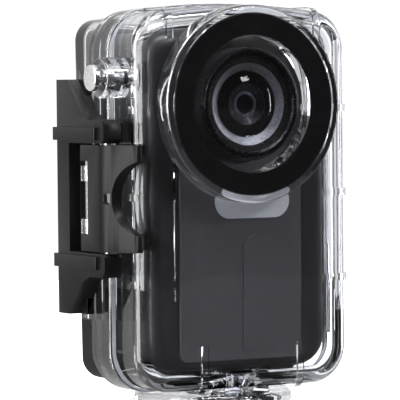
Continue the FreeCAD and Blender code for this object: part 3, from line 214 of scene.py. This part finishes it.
def circuit_board():
    """Green solder mask over copper tracks: fine bright lanes under a glossy film."""
    material, tree, shader, place = surface("circuit_board_solder_mask", "#0c3d1c", Roughness=0.3)
    upright = add(tree, "ShaderNodeMapping", links={"Vector": place},
                  values={"Rotation": (math.pi / 2, 0, 0)})
    lanes = add(tree, "ShaderNodeTexBrick", links={"Vector": upright},
                values={"Scale": 1 / (6 * MM), "Mortar Size": 0.03, "Color1": linear("#0b3a1a"),
                        "Color2": linear("#0e4420"), "Mortar": linear("#2c7a3c")})
    wire(tree, shader, {"Base Color": lanes})
    return material


MATERIALS = {
    "clear_case": clear_polycarbonate("polycarbonate_moulded_clear", "#fbfcff", 0.05 * MM),
    "clear_door": clear_polycarbonate("polycarbonate_moulded_clear_door", "#fbfcff", 0.04 * MM),
    "seal_silicone": moulded("silicone_moulded_grey", "#8a8c90", "#a2a4a8",
                             0.6, 0.4 * MM, 0.01 * MM, 0.1),
    "liner_rubber": moulded("rubber_moulded_black", "#070707", "#0f0f0f",
                            0.6, 0.4 * MM, 0.015 * MM, 0.0, 0.2),
    "steel_pin": metal("stainless_steel_ground", "#a9abad", "#dcdcdc", 0.16, 0.3 * MM, (1, 1, 8)),
    "bezel_black": moulded("abs_gloss_black", "#060607", "#0a0a0b", 0.16, 0.6 * MM, 0.002 * MM),
    "port_glass": optical_glass("port_glass_polished", "#fdfdff", 0.0),
    "front_glass": optical_glass("lens_glass_coated", "#e4e6f2", 0.3),
    "insert_clear": clear_polycarbonate("polycarbonate_moulded_clear_insert", "#f4f6fa", 0.02 * MM),
    "cap_metal": metal("aluminium_polished_cap", "#d6d6d8", "#f1f1f2", 0.16, 0.5 * MM),
    "latch_black": moulded("nylon_spark_eroded_black", "#060607", "#0d0d0e",
                           0.34, 0.25 * MM, 0.02 * MM, 0.0, 0.16),
    "camera_black": moulded("abs_satin_black", "#0b0b0d", "#111113", 0.34, 0.3 * MM, 0.001 * MM),
    "panel_grey": moulded("abs_satin_dark_grey", "#262529", "#2c2b30", 0.42, 0.3 * MM, 0.003 * MM),
    "badge_silver": metal("aluminium_stamped_satin", "#a4a6ad", "#cfd1d6", 0.5, 0.25 * MM, (8, 1, 1)),
    "lens_black": moulded("lens_barrel_matt_black", "#030304", "#060607",
                          0.3, 0.3 * MM, 0.004 * MM, 0.0, 0.35),
    "trim_metal": metal("aluminium_anodised_dark", "#1c1c1f", "#2b2b30", 0.2, 0.3 * MM),
    "retainer_grey": metal("aluminium_anodised_grey", "#5c5d64", "#83858d", 0.3, 0.3 * MM),
    "iris_metal": metal("iris_turned_metal", "#55565b", "#8e9096", 0.24, 0.2 * MM),
    "sensor_chip": moulded("chip_package_epoxy", "#0d0e11", "#15161a", 0.4, 0.2 * MM, 0.005 * MM),
    "circuit_board": circuit_board(),
    "battery_wrap": moulded("battery_shrink_wrap", "#12203c", "#172a4d", 0.28, 1.5 * MM, 0.02 * MM),
    "contact_gold": metal("contacts_gold_plated", "#b98a35", "#e2b75a", 0.18, 0.2 * MM),
    "can_steel": metal("steel_pressed_can", "#8d8e90", "#bfc0c2", 0.24, 0.6 * MM, (1, 6, 1)),
    "screen_dark": moulded("display_panel_dark", "#08090c", "#0c0d11", 0.15, 1.0 * MM, 0.002 * MM),
    "screen_glass": optical_glass("screen_cover_glass", "#d9dcdf", 0.2),
    "card_plastic": moulded("memory_card_black", "#0e0e10", "#17171a", 0.45, 0.2 * MM, 0.01 * MM),
    "light_pipe": clear_polycarbonate("light_pipe_clear", "#f4fff4", 0.01 * MM),
}


def dress_nodes():
    """Gives every carried-over node the material of its slot."""
    for part in frame["record"]["subparts"]:
        obj = nodes[part["node"]]
        obj.data.materials.clear()
        obj.data.materials.append(MATERIALS[part["material_slot"]])


# ---- pieces made anew ----
def put_in_scene(name, mesh, node, body, slot):
    """A finished mesh as an object that rides on a body, takes a slot's finish and stands for a CAD piece."""
    mesh.materials.clear()
    mesh.materials.append(MATERIALS[slot])
    mesh.shade_smooth()
    obj = bpy.data.objects.new(name, mesh)
    bpy.context.scene.collection.objects.link(obj)
    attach(obj, body)
    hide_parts(node)
    return obj


def soften(node, body, slot):
    """A copy of a piece with its mould edges rounded off, where its faces meet at a steep angle."""
    name = node + "_softened"
    mesh = nodes[node].data.copy()
    mesh.name = name
    shape = bmesh.new()
    shape.from_mesh(mesh)
    bmesh.ops.remove_doubles(shape, verts=shape.verts, dist=SAME_POINT)
    bmesh.ops.dissolve_limit(shape, angle_limit=math.radians(SAME_PLANE), verts=shape.verts,
                             edges=shape.edges)
    shape.to_mesh(mesh)
    shape.free()
    obj = put_in_scene(name, mesh, node, body, slot)
    bevel = obj.modifiers.new("edge", "BEVEL")
    bevel.width = EDGE_ROUND
    bevel.segments = 3
    bevel.limit_method = "ANGLE"
    bevel.angle_limit = math.radians(EDGE_ANGLE)
    bevel.use_clamp_overlap = True
    bevel.harden_normals = True


def round_coil(node, body, turns, wire, slot):
    """A helix of round wire whose ends are closed by flat discs, as long and as wide as the CAD piece.

    The wire's middle runs round the plunger's axis and moves along it evenly. A point on the skin is that
    middle plus the wire's radius times cos v outwards, and sin v square to both that and the wire, for v
    going round the wire.
    """
    corners = np.empty(len(nodes[node].data.vertices) * 3)
    nodes[node].data.vertices.foreach_get("co", corners)
    corners = corners.reshape(-1, 3) @ np.array(nodes[node].matrix_world.to_3x3()).T
    corners += np.array(nodes[node].matrix_world.translation)
    low, high = corners.min(0), corners.max(0)
    middle = (low + high) / 2
    radius = (high[2] - low[2]) / 2 - wire
    length = high[0] - low[0] - 2 * wire
    t = np.linspace(0, 2 * math.pi * turns, COIL_STEPS * turns + 1)
    rise = length / t[-1]
    round_y, round_z = np.cos(t), np.sin(t)
    outward = np.stack([np.zeros_like(t), round_y, round_z], 1)
    centre = np.stack([low[0] + wire + rise * t, middle[1] + radius * round_y,
                       middle[2] + radius * round_z], 1)
    along = np.stack([np.full_like(t, rise), -radius * round_z, radius * round_y], 1)
    along /= np.linalg.norm(along, axis=1, keepdims=True)
    across = np.cross(along, outward)
    v = np.linspace(0, 2 * math.pi, COIL_SIDES, endpoint=False)[None, :, None]
    skin = centre[:, None] + wire * (np.cos(v) * outward[:, None] + np.sin(v) * across[:, None])
    i, j = np.meshgrid(np.arange(len(t) - 1), np.arange(COIL_SIDES), indexing="ij")
    after = (j + 1) % COIL_SIDES
    here, beyond = i * COIL_SIDES, (i + 1) * COIL_SIDES
    sides = np.stack([here + after, beyond + after, beyond + j, here + j], -1).reshape(-1, 4)
    last = (len(t) - 1) * COIL_SIDES
    ends = [list(range(COIL_SIDES))[::-1], list(range(last, last + COIL_SIDES))]
    name = node + "_round"
    mesh = bpy.data.meshes.new(name)
    mesh.from_pydata(skin.reshape(-1, 3).tolist(), [], sides.tolist() + ends)
    shape = bmesh.new()
    shape.from_mesh(mesh)
    bmesh.ops.recalc_face_normals(shape, faces=shape.faces)
    shape.to_mesh(mesh)
    shape.free()
    put_in_scene(name, mesh, node, body, slot)


# ---- studio ----
def floor():
    """A pale disc that the case stands on, lit from within towards its edge so that the horizon is faint.

    For rays that something has mirrored, its glow is cut and its colour is painted dark grey: a painted dark
    reflection, in keeping with the black flag in front.
    """
    angles = np.linspace(0, 2 * math.pi, 97)[:-1]
    rim = np.stack([np.cos(angles), np.sin(angles), np.zeros_like(angles)], 1) * FLOOR_RADIUS
    mesh = bpy.data.meshes.new("floor")
    mesh.from_pydata(rim.tolist(), [], [list(range(len(rim)))])
    obj = bpy.data.objects.new("floor", mesh)
    bpy.context.scene.collection.objects.link(obj)
    material, tree, shader, place = surface("floor_paper", "#f7f7f7", Roughness=0.9)
    mottle = add(tree, "ShaderNodeTexNoise", links={"Vector": place},
                 values={"Scale": 1 / (30 * MM), "Detail": 3.0})
    paper = add(tree, "ShaderNodeMix", settings={"data_type": "RGBA"}, links={0: mottle},
                values={6: linear("#f3f3f3"), 7: linear("#fafafa")})
    away = add(tree, "ShaderNodeVectorMath", settings={"operation": "LENGTH"}, links={0: place})
    # painted light: the floor glows by itself, at FLOOR_GLOW beside the case and at full strength far away
    glow = add(tree, "ShaderNodeMapRange", links={"Value": away.outputs["Value"]},
               values={"From Min": 30 * MM, "From Max": 0.6 * FLOOR_RADIUS, "To Min": FLOOR_GLOW,
                       "To Max": 1.0})
    # painted dark reflection: for mirrored rays the glow is cut and the paper colour is painted dark grey
    mirrored = add(tree, "ShaderNodeLightPath").outputs["Glossy Depth"]
    direct = add(tree, "ShaderNodeMath", settings={"operation": "SUBTRACT", "use_clamp": True},
                 values={0: 1.0}, links={1: mirrored})
    lit = add(tree, "ShaderNodeMath", settings={"operation": "MULTIPLY"}, links={0: glow, 1: direct})
    mirror_painted_dark = add(tree, "ShaderNodeMix", settings={"data_type": "RGBA"}, values={6: linear("#202020")},
                links={0: direct, 7: paper.outputs[2]})
    wire(tree, shader, {"Base Color": mirror_painted_dark.outputs[2], "Emission Strength": lit})
    shader.inputs["Emission Color"].default_value = linear("#ffffff")
    mesh.materials.append(material)
    obj.visible_glossy = False


def softbox(name, azimuth, elevation, distance, size, power):
    """A rectangular softbox aimed at the middle of the object."""
    light = bpy.data.lights.new(name, "AREA")
    light.shape = "RECTANGLE"
    light.size, light.size_y = size
    light.energy = power
    obj = bpy.data.objects.new(name, light)
    bpy.context.scene.collection.objects.link(obj)
    middle = (cad_bounds[0] + cad_bounds[1]) / 2
    a, e = math.radians(azimuth), math.radians(elevation)
    away = Vector((math.sin(a) * math.cos(e), -math.cos(a) * math.cos(e), math.sin(e)))
    obj.location = middle + away * distance
    obj.rotation_euler = away.to_track_quat("Z", "Y").to_euler()


def studio():
    """White walls all round with a black flag in front, seen only in mirror images, and the softboxes.

    Rays that come straight through the clear parts see the white backdrop. Rays that something has mirrored
    or scattered see the room, which darkens towards the flag in front of the case.
    """
    world = bpy.data.worlds.new("studio")
    world.use_nodes = True
    tree = world.node_tree
    tree.nodes.clear()
    ray = add(tree, "ShaderNodeTexCoord").outputs["Generated"]
    height = add(tree, "ShaderNodeSeparateXYZ", links={0: ray}).outputs["Z"]
    steep = add(tree, "ShaderNodeMath", settings={"operation": "ABSOLUTE"}, links={0: height})
    backdrop = add(tree, "ShaderNodeMapRange", links={"Value": steep},
                   values={"From Min": 0.4, "From Max": 0.85, "To Min": 1.05, "To Max": BACKDROP_DIM})
    a = math.radians(FLAG_AZIMUTH)
    facing = add(tree, "ShaderNodeVectorMath", settings={"operation": "DOT_PRODUCT"}, links={0: ray},
                 values={1: (math.sin(a), -math.cos(a), 0)}).outputs["Value"]
    room = add(tree, "ShaderNodeMapRange", links={"Value": facing},
               values={"From Min": 0.0, "From Max": 0.6, "To Min": ROOM_LEVEL, "To Max": FLAG_LEVEL})
    path = add(tree, "ShaderNodeLightPath").outputs
    turned = add(tree, "ShaderNodeMath", settings={"operation": "ADD", "use_clamp": True},
                 links={0: path["Glossy Depth"], 1: path["Diffuse Depth"]})
    level = add(tree, "ShaderNodeMix", links={0: turned, 2: backdrop, 3: room})
    back = add(tree, "ShaderNodeBackground", values={"Color": linear("#ffffff")}, links={"Strength": level})
    add(tree, "ShaderNodeOutputWorld", links={"Surface": back})
    bpy.context.scene.world = world
    for name, settings in SOFTBOXES.items():
        softbox(name, *settings)


def camera():
    """A long lens at the chosen azimuth and elevation, with its slight roll."""
    a, e, r = (math.radians(v) for v in (VIEW_AZIMUTH, VIEW_ELEVATION, VIEW_ROLL))
    back = Vector((math.sin(a) * math.cos(e), -math.cos(a) * math.cos(e), math.sin(e)))
    level = Vector((math.cos(a), math.sin(a), 0))
    rise = back.cross(level)
    right = level * math.cos(r) + rise * math.sin(r)
    up = rise * math.cos(r) - level * math.sin(r)
    data = bpy.data.cameras.new("camera")
    data.lens = LENS_LENGTH
    data.sensor_width = 36
    data.clip_start = 0.05
    obj = bpy.data.objects.new("camera", data)
    bpy.context.scene.collection.objects.link(obj)
    spot = VIEW_TARGET + back * VIEW_DISTANCE
    obj.matrix_world = Matrix([[right[i], up[i], back[i], spot[i]] for i in range(3)] + [[0, 0, 0, 1]])
    bpy.context.scene.camera = obj


camera()
studio()
floor()
dress_nodes()
soften("latch_lever", "lever", "latch_black")
soften("latch_hook", "hook", "latch_black")
round_coil("plunger_spring", "plunger", SPRING_TURNS, SPRING_WIRE, "steel_pin")
bpy.context.scene.view_settings.view_transform = "Standard"
light_paths = bpy.context.scene.cycles
light_paths.max_bounces = LIGHT_BOUNCES
light_paths.glossy_bounces = LIGHT_BOUNCES
light_paths.transmission_bounces = LIGHT_BOUNCES
